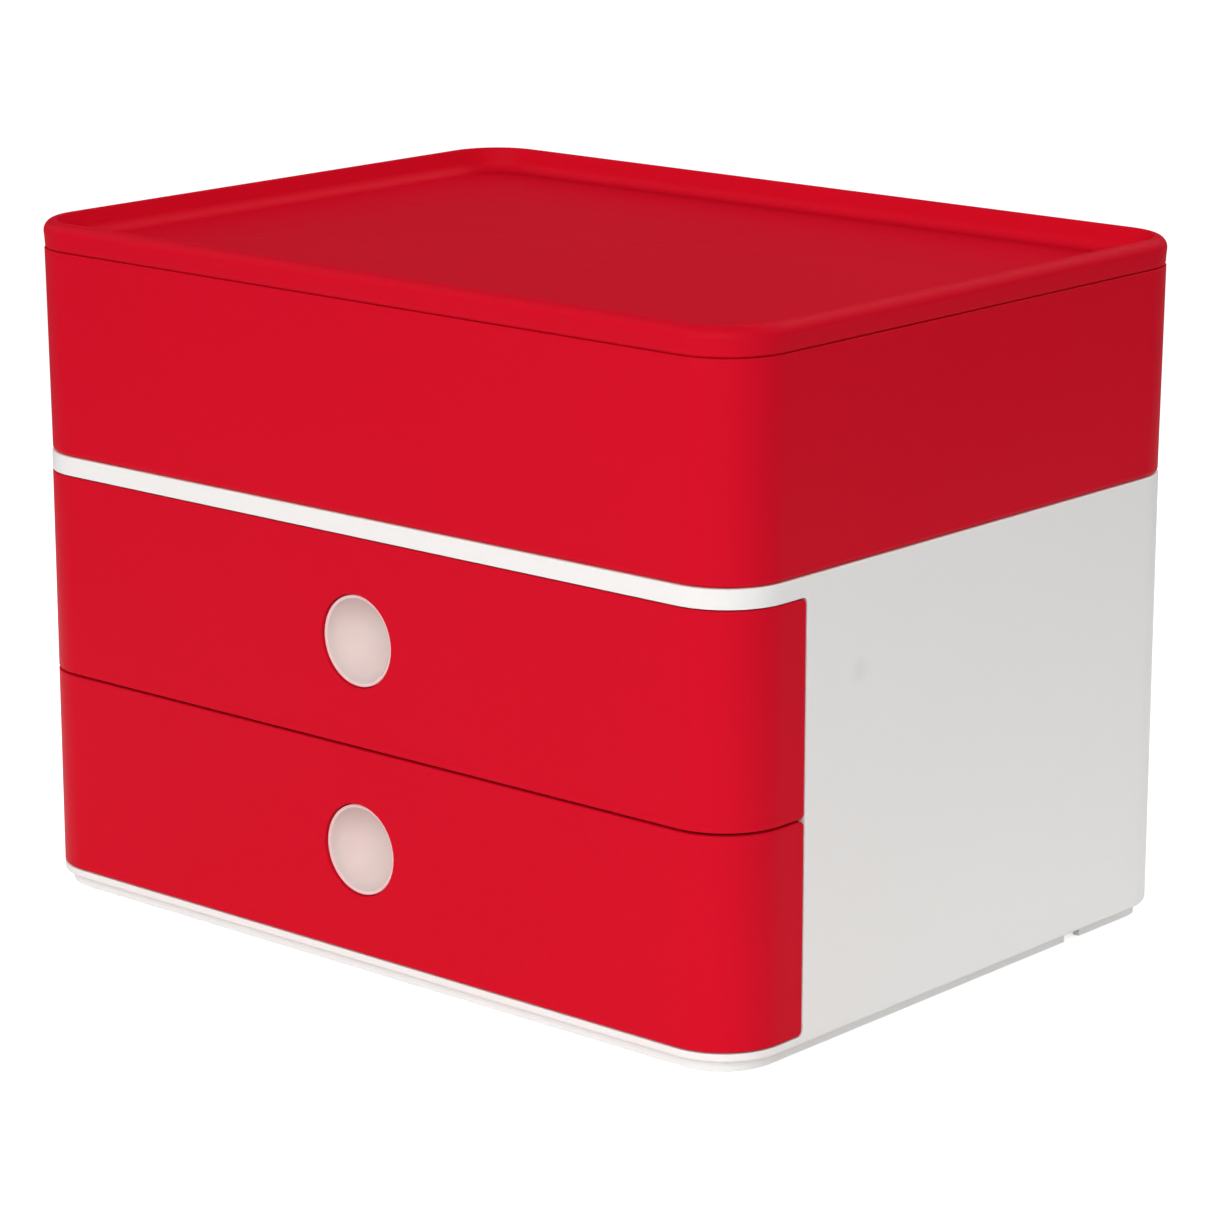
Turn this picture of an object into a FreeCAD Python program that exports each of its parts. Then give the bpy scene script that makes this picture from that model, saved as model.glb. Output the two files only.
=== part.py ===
# Desk drawer box: a white housing with two drawers, a storage box standing on it and a tray lid.
# Frame: X to the right, Y to the back, Z up. The origin is on the table, under the middle.
import FreeCAD, Part
import Sketcher
import math
import os

# Driving sizes in millimetres
sizes = {
    # plan outline, over the rim of the lid
    "overall_width": 260,
    "overall_depth": 195,
    "corner_radius": 19,
    # housing
    "housing_inset": 0.5,
    "housing_wall": 2.2,
    "housing_floor": 2.4,
    "drawer_pitch": 57.65,
    "band_height": 5.2,
    "deck_thickness": 2.2,
    "housing_edge_round": 0.9,
    "band_edge_round": 0.4,
    "foot_standoff": 0.4,
    "plinth_height": 2.9,
    "nesting_wall": 2.0,
    "nesting_clearance": 0.25,
    "nesting_gap": 0.4,
    "plinth_notch_width": 7,
    "plinth_notch_centre": 52.5,
    "plinth_rear_end": 83,
    "rail_reach": 8,
    "rail_root": 2.4,
    "rail_tip": 1.8,
    "rail_setback": 6.7,
    "stop_drop": 1.8,
    "stop_length": 3,
    "stop_width": 3.6,
    "back_slot_width": 40,
    "back_slot_height": 12,
    "back_slot_radius": 5.8,
    "back_slot_level": 36,
    # drawers
    "front_wrap": 28.8,
    "front_gap": 0.3,
    "slide_gap": 0.3,
    "top_gap": 0.4,
    "side_clearance": 0.6,
    "back_clearance": 1.0,
    "drawer_wall": 2.0,
    "drawer_floor": 1.8,
    "drawer_end_radius": 1.5,
    "drawer_edge_round": 0.4,
    "rim_clearance": 0.4,
    "rim_step_radius": 3,
    "tab_clearance": 0.4,
    "tab_length": 5,
    "tab_setback": 3.8,
    "stop_clearance": 0.3,
    "cable_notch_width": 22,
    "cable_notch_depth": 13,
    "cable_notch_radius": 4,
    # grips
    "grip_level": 28.9,
    "grip_radius": 12.4,
    "grip_rim": 0.8,
    "grip_depth": 8,
    "grip_recess": 0.8,
    "grip_flange": 1.1,
    "grip_step": 0.8,
    "grip_clearance": 0.4,
    "grip_bead": 0.6,
    "grip_bead_length": 1.2,
    "grip_cup_wall": 1.3,
    "grip_boss_width": 2.6,
    "grip_boss_depth": 1.4,
    # storage box
    "box_height": 57.4,
    "box_bottom_inset": 0.7,
    "box_top_inset": 0.1,
    "box_wall": 2.2,
    "box_floor": 2.2,
    "box_bottom_round": 1.4,
    "box_rim_chamfer": 0.15,
    # lid
    "lid_height": 7.8,
    "lid_bottom_inset": 0.35,
    "lid_bottom_round": 1.0,
    "rim_outer_round": 3.2,
    "rim_inner_round": 0.4,
    "tray_depth": 7.2,
    "tray_floor_wall": 1.8,
    "tray_wall": 3.7,
    "tray_draft": 0.8,
    "tray_cove": 3.5,
    "lip_depth": 3.5,
    "lip_wall": 1.6,
    "lip_clearance": 0.3,
    # dividers and the slots that hold them
    "divider_thickness": 1.6,
    "divider_height": 42,
    "divider_corner": 3,
    "divider_end_gap": 0.3,
    "scoop_width": 44,
    "scoop_depth": 7,
    "slot_clearance": 0.15,
    "rib_width": 1.2,
    "rib_depth": 1.4,
    "rib_height": 38,
    "side_slot_pitch": 36,
    "back_slot_pitch": 42,
    # feet
    "foot_radius": 6.5,
    "foot_round": 0.7,
    "foot_groove_radius": 3.6,
    "foot_groove_width": 0.9,
    "foot_groove_depth": 0.5,
    "foot_side_inset": 22,
    "foot_end_inset": 21,
    "foot_socket_gap": 0.2,
    "foot_socket_wall": 1.6,
    "foot_socket_height": 1.6,
    # how far a cut reaches past what it cuts
    "overrun": 6,
}
# three slots along each side wall and five along each back wall
side_slot_count = 3
back_slot_count = 5
nearness = 1e-4

doc = FreeCAD.newDocument("desk_drawer_box")
sheet = doc.addObject("Spreadsheet::Sheet", "sizes")
for row, (alias, value) in enumerate(sizes.items(), start=1):
    sheet.set(f"A{row}", alias)
    sheet.set(f"B{row}", str(value))
    sheet.setAlias(f"B{row}", alias)
doc.recompute()
parts = []


def number(expression):
    return float(sheet.evalExpression(expression))


# A plan is a rounded rectangle about the origin: half width, half depth and corner radius
def inset(plan, amount):
    return tuple(f"({half} - {amount})" for half in plan)


overall_plan = ("sizes.overall_width / 2", "sizes.overall_depth / 2", "sizes.corner_radius")
house_plan = inset(overall_plan, "sizes.housing_inset")
house_inner_plan = inset(house_plan, "sizes.housing_wall")
nesting_plan = inset(house_inner_plan, "sizes.nesting_clearance")
nesting_inner_plan = inset(nesting_plan, "sizes.nesting_wall")
tray_plan = inset(house_inner_plan, "sizes.side_clearance")

# Levels above the table
house_bottom = "(sizes.foot_standoff + sizes.plinth_height)"
lower_bay = f"({house_bottom} + sizes.housing_floor)"
upper_bay = f"({lower_bay} + sizes.drawer_pitch)"
deck_underside = f"({upper_bay} + sizes.drawer_pitch)"
house_top = f"({deck_underside} + sizes.band_height)"
lid_bottom = f"({house_top} + sizes.box_height)"

# Heights inside a bay, above its floor or above the drawer's underside
stop_underside = "(sizes.drawer_pitch - sizes.rail_root - sizes.stop_drop)"
rim_height = f"({stop_underside} - sizes.rim_clearance - sizes.slide_gap)"
tab_height = "(sizes.drawer_pitch - sizes.rail_root - sizes.tab_clearance - sizes.slide_gap)"
panel_height = "(sizes.drawer_pitch - sizes.slide_gap - sizes.top_gap)"

# Places from front to back
wall_front = "(sizes.front_wrap - sizes.overall_depth / 2)"
panel_end = f"({wall_front} - sizes.front_gap)"
rail_front = f"({wall_front} + sizes.rail_setback)"
tray_back = f"({house_inner_plan[1]} - sizes.back_clearance)"
tab_back = f"({tray_back} - {tray_plan[2]} - sizes.tab_setback)"
tab_front = f"({tab_back} - sizes.tab_length)"
drawer_travel = f"({tab_front} - sizes.stop_clearance - {rail_front} - sizes.stop_length)"


def new_body(label, x="0", y="0", z="0"):
    body = doc.addObject("PartDesign::Body", label)
    body.Label = label
    for axis, place in zip("xyz", (x, y, z)):
        body.setExpression(f".Placement.Base.{axis}", place)
    parts.append(body)
    return body


def new_sketch(body, role, name, offset="0"):
    sketch = body.newObject("Sketcher::SketchObject", f"{body.Name}_{name}_sketch")
    plane = next(item for item in body.Origin.OriginFeatures if item.Role == role)
    sketch.AttachmentSupport = (plane, [""])
    sketch.MapMode = "FlatFace"
    sketch.setExpression("AttachmentOffset.Base.z", offset)
    return sketch


def constrain(sketch, plain, driven):
    sketch.addConstraint(plain)
    for constraint, expression in driven:
        index = sketch.addConstraint(constraint)
        sketch.setExpression(f"Constraints[{index}]", expression)


# Ties one coordinate of a point to an expression, whatever side of the axis it is on
def tie(kind, item, end, expression):
    value = number(expression)
    if value < 0:
        return Sketcher.Constraint(kind, item, end, -1, 1, -value), f"-({expression})"
    return Sketcher.Constraint(kind, -1, 1, item, end, value), expression


# A closed outline with its sides along the sketch axes. A corner is (x, y) or (x, y, radius)
def draw_outline(sketch, corners):
    places = [FreeCAD.Vector(number(corner[0]), number(corner[1]), 0) for corner in corners]
    radii = [number(corner[2]) if len(corner) > 2 else 0 for corner in corners]
    count = len(corners)
    headings = [(places[(i + 1) % count] - places[i]).normalize() for i in range(count)]
    first = sketch.GeometryCount
    geometry = []
    for i in range(count):
        start = places[i] + headings[i] * radii[i]
        end = places[(i + 1) % count] - headings[i] * radii[(i + 1) % count]
        geometry.append(Part.LineSegment(start, end))
    plain = []
    driven = []
    for i in range(count):
        level = abs(headings[i].y) < abs(headings[i].x)
        plain.append(Sketcher.Constraint("Horizontal" if level else "Vertical", first + i))
        kind, place = ("DistanceY", corners[i][1]) if level else ("DistanceX", corners[i][0])
        driven.append(tie(kind, first + i, 1, place))
        before = first + (i - 1) % count
        if not radii[i]:
            plain.append(Sketcher.Constraint("Coincident", before, 2, first + i, 1))
            continue
        came, goes = headings[i - 1], headings[i]
        centre = places[i] + (goes - came) * radii[i]
        left_turn = came.cross(goes).z > 0
        begin, finish = (-goes, came) if left_turn else (came, -goes)
        angles = [math.atan2(side.y, side.x) for side in (begin, finish)]
        circle = Part.Circle(centre, FreeCAD.Vector(0, 0, 1), radii[i])
        arc = first + len(geometry)
        geometry.append(Part.ArcOfCircle(circle, angles[0], angles[1]))
        entry, leaving = (1, 2) if left_turn else (2, 1)
        plain.append(Sketcher.Constraint("Tangent", before, 2, arc, entry))
        plain.append(Sketcher.Constraint("Tangent", arc, leaving, first + i, 1))
        driven.append((Sketcher.Constraint("Radius", arc, radii[i]), corners[i][2]))
    sketch.addGeometry(geometry)
    constrain(sketch, plain, driven)


def draw_plan(sketch, plan):
    x, y, radius = plan
    draw_outline(sketch, [(f"-{x}", f"-{y}", radius), (x, f"-{y}", radius),
                          (x, y, radius), (f"-{x}", y, radius)])


def draw_rectangle(sketch, x0, y0, x1, y1):
    draw_outline(sketch, [(x0, y0), (x1, y0), (x1, y1), (x0, y1)])


def draw_polygon(sketch, points):
    first = sketch.GeometryCount
    places = [FreeCAD.Vector(number(x), number(y), 0) for x, y in points]
    count = len(points)
    sketch.addGeometry([Part.LineSegment(places[i], places[(i + 1) % count]) for i in range(count)])
    plain = [Sketcher.Constraint("Coincident", first + i - 1, 2, first + i, 1) for i in range(1, count)]
    plain.append(Sketcher.Constraint("Coincident", first + count - 1, 2, first, 1))
    driven = []
    for i, (x, y) in enumerate(points):
        driven.append(tie("DistanceX", first + i, 1, x))
        driven.append(tie("DistanceY", first + i, 1, y))
    constrain(sketch, plain, driven)


def draw_circle(sketch, x, y, radius):
    centre = FreeCAD.Vector(number(x), number(y), 0)
    item = sketch.addGeometry(Part.Circle(centre, FreeCAD.Vector(0, 0, 1), number(radius)))
    driven = [tie("DistanceX", item, 3, x), tie("DistanceY", item, 3, y)]
    driven.append((Sketcher.Constraint("Radius", item, number(radius)), radius))
    constrain(sketch, [], driven)


def extrude(body, kind, sketch, name, length, reverse=False, symmetric=False, taper=None):
    before = body.Shape.Volume if body.Tip else 0
    feature = body.newObject(f"PartDesign::{kind}", f"{body.Name}_{name}")
    feature.Profile = sketch
    feature.setExpression("Length", length)
    feature.Reversed = reverse
    feature.SideType = "Symmetric" if symmetric else "One side"
    if taper:
        feature.setExpression("TaperAngle", taper)
    doc.recompute()
    grown = body.Shape.Volume - before
    if (grown > 0) != (kind == "Pad"):
        raise RuntimeError(f"{feature.Name} changed the volume by {grown}")
    return feature


def pad(body, sketch, name, length, **options):
    return extrude(body, "Pad", sketch, name, length, **options)


def pocket(body, sketch, name, length, **options):
    return extrude(body, "Pocket", sketch, name, length, **options)


def pattern(body, feature, sketch, axis, name, length, count):
    copies = body.newObject("PartDesign::LinearPattern", f"{body.Name}_{name}")
    copies.Originals = [feature]
    copies.Direction = (sketch, [axis])
    copies.setExpression("Length", length)
    copies.Occurrences = count
    body.Tip = copies
    doc.recompute()
    return copies


def dress(body, kind, names, name, size):
    base = body.Tip
    feature = body.newObject(f"PartDesign::{kind}", f"{body.Name}_{name}")
    feature.Base = (base, names)
    feature.setExpression("Radius" if kind == "Fillet" else "Size", size)
    doc.recompute()
    return feature


def edge_names(shape, wanted):
    return [f"Edge{i}" for i, edge in enumerate(shape.Edges, start=1) if wanted(edge)]


def level_edges(shape, level):
    height = number(level)
    return edge_names(shape, lambda edge: abs(edge.BoundBox.ZMin - height) < nearness
                      and abs(edge.BoundBox.ZMax - height) < nearness)


# The low ring under the housing and under the storage box, which nests in the rim below it
def add_nesting_ring(body, level, height):
    sketch = new_sketch(body, "XY_Plane", "ring", level)
    draw_plan(sketch, nesting_plan)
    draw_plan(sketch, nesting_inner_plan)
    pad(body, sketch, "ring", height, reverse=True)


# Pairs of ribs on the side walls and on the back wall, which hold the dividers upright
def add_slots(body, carrier):
    slot_half = "(sizes.divider_thickness / 2 + sizes.slot_clearance)"
    face = carrier["half_width"]
    first_row = f"(-{(side_slot_count - 1) / 2} * sizes.side_slot_pitch)"
    sides = new_sketch(body, "XY_Plane", "side_ribs", carrier["floor"])
    for side in ("-", ""):
        for near, far in ((f"-{slot_half} - sizes.rib_width", f"-{slot_half}"),
                          (slot_half, f"{slot_half} + sizes.rib_width")):
            tip, root = f"({face} - sizes.rib_depth)", f"({face} + {carrier['wall']} / 2)"
            west, east = (f"-{root}", f"-{tip}") if side else (tip, root)
            draw_rectangle(sides, west, f"{first_row} + {near}", east, f"{first_row} + {far}")
    ribs = pad(body, sides, "side_ribs", "sizes.rib_height")
    pattern(body, ribs, sides, "V_Axis", "side_rib_rows", f"{side_slot_count - 1} * sizes.side_slot_pitch",
            side_slot_count)
    back = new_sketch(body, "XY_Plane", "back_ribs", carrier["floor"])
    first_column = f"(-{(back_slot_count - 1) / 2} * sizes.back_slot_pitch)"
    for near, far in ((f"-{slot_half} - sizes.rib_width", f"-{slot_half}"),
                      (slot_half, f"{slot_half} + sizes.rib_width")):
        draw_rectangle(back, f"{first_column} + {near}", f"{carrier['back']} - sizes.rib_depth",
                       f"{first_column} + {far}", f"{carrier['back']} + {carrier['wall']} / 2")
    ribs = pad(body, back, "back_ribs", "sizes.rib_height")
    pattern(body, ribs, back, "H_Axis", "back_rib_rows", f"{back_slot_count - 1} * sizes.back_slot_pitch",
            back_slot_count)


# A divider plate seen flat, with rounded corners and a finger scoop in its top edge
def plate_corners(start, end):
    middle = f"(({start}) + ({end})) / 2"
    top, radius = "sizes.divider_height", "sizes.divider_corner"
    dip = "(sizes.divider_height - sizes.scoop_depth)"
    near, far = f"({middle} - sizes.scoop_width / 2)", f"({middle} + sizes.scoop_width / 2)"
    return [(start, "0"), (end, "0"), (end, top, radius), (far, top, radius), (far, dip, radius),
            (near, dip, radius), (near, top, radius), (start, top, radius)]


# One long divider from side to side, and two short ones from it to the back wall
def build_dividers(prefix, carrier, base):
    row = carrier["row"]
    floor = f"({base} + {carrier['floor']})"
    half_length = f"({carrier['half_width']} - sizes.divider_end_gap)"
    plate = new_body(f"{prefix}_long_divider", y=row, z=floor)
    outline = new_sketch(plate, "XZ_Plane", "plate")
    draw_outline(outline, plate_corners(f"-{half_length}", half_length))
    pad(plate, outline, "plate", "sizes.divider_thickness", symmetric=True)
    slot_half = "(sizes.divider_thickness / 2 + sizes.slot_clearance)"
    ribs = new_sketch(plate, "XY_Plane", "ribs")
    for side in ("-", ""):
        centre = f"({side}sizes.back_slot_pitch)"
        for near, far in ((f"-{slot_half} - sizes.rib_width", f"-{slot_half}"),
                          (slot_half, f"{slot_half} + sizes.rib_width")):
            draw_rectangle(ribs, f"{centre} + {near}", "sizes.divider_thickness / 4",
                           f"{centre} + {far}", "sizes.divider_thickness / 2 + sizes.rib_depth")
    pad(plate, ribs, "ribs", "sizes.divider_height - sizes.scoop_depth - sizes.divider_corner")
    start = f"({row} + sizes.divider_thickness / 2 + sizes.divider_end_gap)"
    end = f"({carrier['back']} - sizes.divider_end_gap)"
    for name, side in (("left", "-"), ("right", "")):
        short = new_body(f"{prefix}_{name}_divider", x=f"{side}sizes.back_slot_pitch", z=floor)
        outline = new_sketch(short, "YZ_Plane", "plate")
        draw_outline(outline, plate_corners(start, end))
        pad(short, outline, "plate", "sizes.divider_thickness", symmetric=True)


foot_x = f"({house_plan[0]} - sizes.foot_side_inset)"
foot_y = f"({house_plan[1]} - sizes.foot_end_inset)"
foot_places = {
    "front_left_foot": (f"-{foot_x}", f"-{foot_y}"),
    "front_right_foot": (foot_x, f"-{foot_y}"),
    "rear_left_foot": (f"-{foot_x}", foot_y),
    "rear_right_foot": (foot_x, foot_y),
}


# One moulding: floor, side walls, back, deck with its rim, rails, plinth ring and foot sockets
def build_housing():
    body = new_body("housing")
    shell = new_sketch(body, "XY_Plane", "shell", house_bottom)
    draw_plan(shell, house_plan)
    pad(body, shell, "shell", f"{house_top} - {house_bottom}")
    dress(body, "Fillet", level_edges(body.Tip.Shape, house_bottom), "bottom_edge",
          "sizes.housing_edge_round")
    dress(body, "Fillet", level_edges(body.Tip.Shape, house_top), "band_edge", "sizes.band_edge_round")

    x, y, radius = house_inner_plan
    bay = new_sketch(body, "XY_Plane", "bay", lower_bay)
    bay_front = f"({wall_front} - sizes.overrun)"
    draw_outline(bay, [(f"-{x}", bay_front), (x, bay_front), (x, y, radius), (f"-{x}", y, radius)])
    pocket(body, bay, "bay", f"{deck_underside} - {lower_bay}", reverse=True)

    opening = new_sketch(body, "YZ_Plane", "opening")
    corner = "(sizes.drawer_end_radius + sizes.front_gap)"
    before = f"(-{house_plan[1]} - sizes.overrun)"
    draw_outline(opening, [(before, lower_bay), (wall_front, lower_bay, corner),
                           (wall_front, deck_underside, corner), (before, deck_underside)])
    pocket(body, opening, "opening", f"2 * {house_plan[0]} + sizes.overrun", symmetric=True)

    deck = new_sketch(body, "XY_Plane", "deck", house_top)
    draw_plan(deck, house_inner_plan)
    pocket(body, deck, "deck", "sizes.band_height - sizes.deck_thickness")

    add_rails(body)
    add_stops(body)

    slots = new_sketch(body, "XZ_Plane", "back_slots", f"-{house_inner_plan[1]} + sizes.overrun / 2")
    half_slot = "(sizes.back_slot_width / 2)"
    corner = "sizes.back_slot_radius"
    for bay_level in (lower_bay, upper_bay):
        low = f"({bay_level} + sizes.back_slot_level - sizes.back_slot_height / 2)"
        high = f"({bay_level} + sizes.back_slot_level + sizes.back_slot_height / 2)"
        draw_outline(slots, [(f"-{half_slot}", low, corner), (half_slot, low, corner),
                             (half_slot, high, corner), (f"-{half_slot}", high, corner)])
    pocket(body, slots, "back_slots", "sizes.overrun + sizes.housing_wall")

    add_nesting_ring(body, house_bottom, "sizes.plinth_height")
    notches = new_sketch(body, "YZ_Plane", "plinth_notches")
    half_notch = "sizes.plinth_notch_width / 2"
    draw_rectangle(notches, f"sizes.plinth_notch_centre - {half_notch}", "0",
                   f"sizes.plinth_notch_centre + {half_notch}", house_bottom)
    draw_rectangle(notches, "sizes.plinth_rear_end", "0", f"{house_plan[1]} + sizes.overrun", house_bottom)
    pocket(body, notches, "plinth_notches", f"2 * {house_plan[0]} + sizes.overrun", symmetric=True)

    sockets = new_sketch(body, "XY_Plane", "foot_sockets", house_bottom)
    bore = "(sizes.foot_radius + sizes.foot_socket_gap)"
    for place_x, place_y in foot_places.values():
        draw_circle(sockets, place_x, place_y, bore)
        draw_circle(sockets, place_x, place_y, f"{bore} + sizes.foot_socket_wall")
    pad(body, sockets, "foot_sockets", "sizes.foot_socket_height", reverse=True)


# Ledges on the side walls, which carry the upper drawer
def add_rails(body):
    rails = new_sketch(body, "XZ_Plane", "rails", f"-{rail_front}")
    root = f"({house_inner_plan[0]} + sizes.housing_wall / 2)"
    tip = f"({house_inner_plan[0]} - sizes.rail_reach)"
    low_root, low_tip = f"({upper_bay} - sizes.rail_root)", f"({upper_bay} - sizes.rail_tip)"
    draw_polygon(rails, [(tip, low_tip), (root, low_root), (root, upper_bay), (tip, upper_bay)])
    draw_polygon(rails, [(f"-{tip}", low_tip), (f"-{tip}", upper_bay), (f"-{root}", upper_bay),
                         (f"-{root}", low_root)])
    rail_back = f"({house_inner_plan[1]} - {house_inner_plan[2]})"
    pad(body, rails, "rails", f"{rail_back} - {rail_front}", reverse=True)


# Nubs under the rails and under the deck, square at the back, which stop the drawer tabs
def add_stops(body):
    back = f"({rail_front} + sizes.stop_length)"
    outer = f"({house_inner_plan[0]} + sizes.housing_wall / 2)"
    inner = f"({house_inner_plan[0]} - sizes.stop_width)"
    for name, floor, roof in (("lower", lower_bay, upper_bay), ("upper", upper_bay, deck_underside)):
        low = f"({floor} + {stop_underside})"
        high = f"({roof} - sizes.rail_tip / 2)" if name == "lower" else f"({roof} + sizes.deck_thickness / 2)"
        ramp = f"({rail_front} + sizes.stop_length / 3)"
        for side_name, start in (("left", f"-{outer}"), ("right", inner)):
            sketch = new_sketch(body, "YZ_Plane", f"{name}_{side_name}_stop", start)
            draw_polygon(sketch, [(ramp, low), (back, low), (back, high), (rail_front, high)])
            pad(body, sketch, f"{name}_{side_name}_stop", f"{outer} - {inner}")


def build_feet():
    for label, (place_x, place_y) in foot_places.items():
        body = new_body(label, x=place_x, y=place_y)
        disc = new_sketch(body, "XY_Plane", "disc")
        draw_circle(disc, "0", "0", "sizes.foot_radius")
        pad(body, disc, "disc", house_bottom)
        dress(body, "Fillet", level_edges(body.Tip.Shape, "0"), "sole_edge", "sizes.foot_round")
        groove = new_sketch(body, "XY_Plane", "groove")
        draw_circle(groove, "0", "0", "sizes.foot_groove_radius")
        draw_circle(groove, "0", "0", "sizes.foot_groove_radius - sizes.foot_groove_width")
        pocket(body, groove, "groove", "sizes.foot_groove_depth", reverse=True)


# The drawer fronts wrap round both front corners and end where the housing walls begin
def front_skin(face):
    box = face.BoundBox
    half_width, half_depth, radius = (number(value) for value in house_plan)
    surface = face.Surface
    if isinstance(surface, Part.Cylinder):
        return abs(surface.Radius - radius) < nearness and box.YMax < 0
    flat_front = abs(box.YMin + half_depth) < nearness and abs(box.YMax + half_depth) < nearness
    flat_side = abs(abs(box.XMin) - half_width) < nearness and abs(box.XLength) < nearness
    return flat_front or flat_side


def skin_border(shape):
    skin_edges = [side for face in shape.Faces if front_skin(face) for side in face.Edges]
    return edge_names(shape, lambda edge: sum(edge.isSame(side) for side in skin_edges) == 1)


def panel_corner_edge(edge):
    box = edge.BoundBox
    place = number(panel_end)
    return abs(box.YMin - place) < nearness and abs(box.YMax - place) < nearness and box.ZLength < nearness


def build_drawer(label, bay_level):
    body = new_body(label, z=f"{bay_level} + sizes.slide_gap")
    x, y, radius = house_plan
    tray_x, _, tray_radius = tray_plan
    block = new_sketch(body, "XY_Plane", "block")
    draw_outline(block, [(f"-{x}", f"-{y}", radius), (x, f"-{y}", radius), (x, panel_end),
                         (tray_x, panel_end), (tray_x, tray_back, tray_radius),
                         (f"-{tray_x}", tray_back, tray_radius), (f"-{tray_x}", panel_end),
                         (f"-{x}", panel_end)])
    pad(body, block, "block", panel_height)
    dress(body, "Fillet", edge_names(body.Tip.Shape, panel_corner_edge), "panel_ends",
          "sizes.drawer_end_radius")
    dress(body, "Fillet", skin_border(body.Tip.Shape), "panel_edge", "sizes.drawer_edge_round")

    wall = "sizes.drawer_wall"
    inner_x, inner_y, inner_radius = inset(house_plan, wall)
    bin_x, _, bin_radius = inset(tray_plan, wall)
    step = f"({panel_end} - {wall})"
    bin_back = f"({tray_back} - {wall})"
    hollow = new_sketch(body, "XY_Plane", "hollow", panel_height)
    draw_outline(hollow, [(f"-{inner_x}", f"-{inner_y}", inner_radius),
                          (inner_x, f"-{inner_y}", inner_radius), (inner_x, step), (bin_x, step),
                          (bin_x, bin_back, bin_radius), (f"-{bin_x}", bin_back, bin_radius),
                          (f"-{bin_x}", step), (f"-{inner_x}", step)])
    pocket(body, hollow, "hollow", f"{panel_height} - sizes.drawer_floor")

    rim = new_sketch(body, "YZ_Plane", "rim")
    beyond = f"({tray_back} + sizes.overrun)"
    above = f"({panel_height} + sizes.overrun)"
    draw_outline(rim, [(panel_end, rim_height, "sizes.rim_step_radius"), (beyond, rim_height),
                       (beyond, above), (panel_end, above)])
    pocket(body, rim, "rim", f"2 * {house_plan[0]} + sizes.overrun", symmetric=True)

    tabs = new_sketch(body, "XY_Plane", "tabs", f"{rim_height} - {wall} / 2")
    draw_rectangle(tabs, bin_x, tab_front, tray_x, tab_back)
    draw_rectangle(tabs, f"-{tray_x}", tab_front, f"-{bin_x}", tab_back)
    pad(body, tabs, "tabs", f"{tab_height} - {rim_height} + {wall} / 2")

    notch = new_sketch(body, "XZ_Plane", "cable_notch", f"-{bin_back} + {wall} / 2")
    half_notch = "(sizes.cable_notch_width / 2)"
    notch_floor = f"({rim_height} - sizes.cable_notch_depth)"
    notch_radius = "sizes.cable_notch_radius"
    draw_outline(notch, [(f"-{half_notch}", notch_floor, notch_radius),
                         (half_notch, notch_floor, notch_radius), (half_notch, above),
                         (f"-{half_notch}", above)])
    pocket(body, notch, "cable_notch", f"{wall} * 2")

    add_grip_seat(body)
    carrier = {"half_width": bin_x, "back": bin_back, "wall": wall, "floor": "sizes.drawer_floor", "row": "0"}
    add_slots(body, carrier)
    build_dividers(label, carrier, f"{bay_level} + sizes.slide_gap")
    build_grip(f"{label}_grip", f"{bay_level} + sizes.slide_gap + sizes.grip_level")


# A stepped round hole through the drawer front, with a boss behind it, for the snapped-in grip
def add_grip_seat(body):
    level = "sizes.grip_level"
    front = house_plan[1]
    neck = "(sizes.grip_radius - sizes.grip_step + sizes.grip_clearance)"
    boss = new_sketch(body, "XZ_Plane", "grip_boss", f"{front} - sizes.drawer_wall / 2")
    draw_circle(boss, "0", level, f"{neck} + sizes.grip_boss_width")
    pad(body, boss, "grip_boss", "sizes.drawer_wall / 2 + sizes.grip_boss_depth", reverse=True)
    seat = new_sketch(body, "XZ_Plane", "grip_seat", front)
    draw_circle(seat, "0", level, "sizes.grip_radius + sizes.grip_clearance")
    pocket(body, seat, "grip_seat", "sizes.grip_recess + sizes.grip_flange")
    hole = new_sketch(body, "XZ_Plane", "grip_hole", front)
    draw_circle(hole, "0", level, neck)
    pocket(body, hole, "grip_hole", "sizes.drawer_wall + sizes.grip_boss_depth + sizes.overrun / 2")


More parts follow.
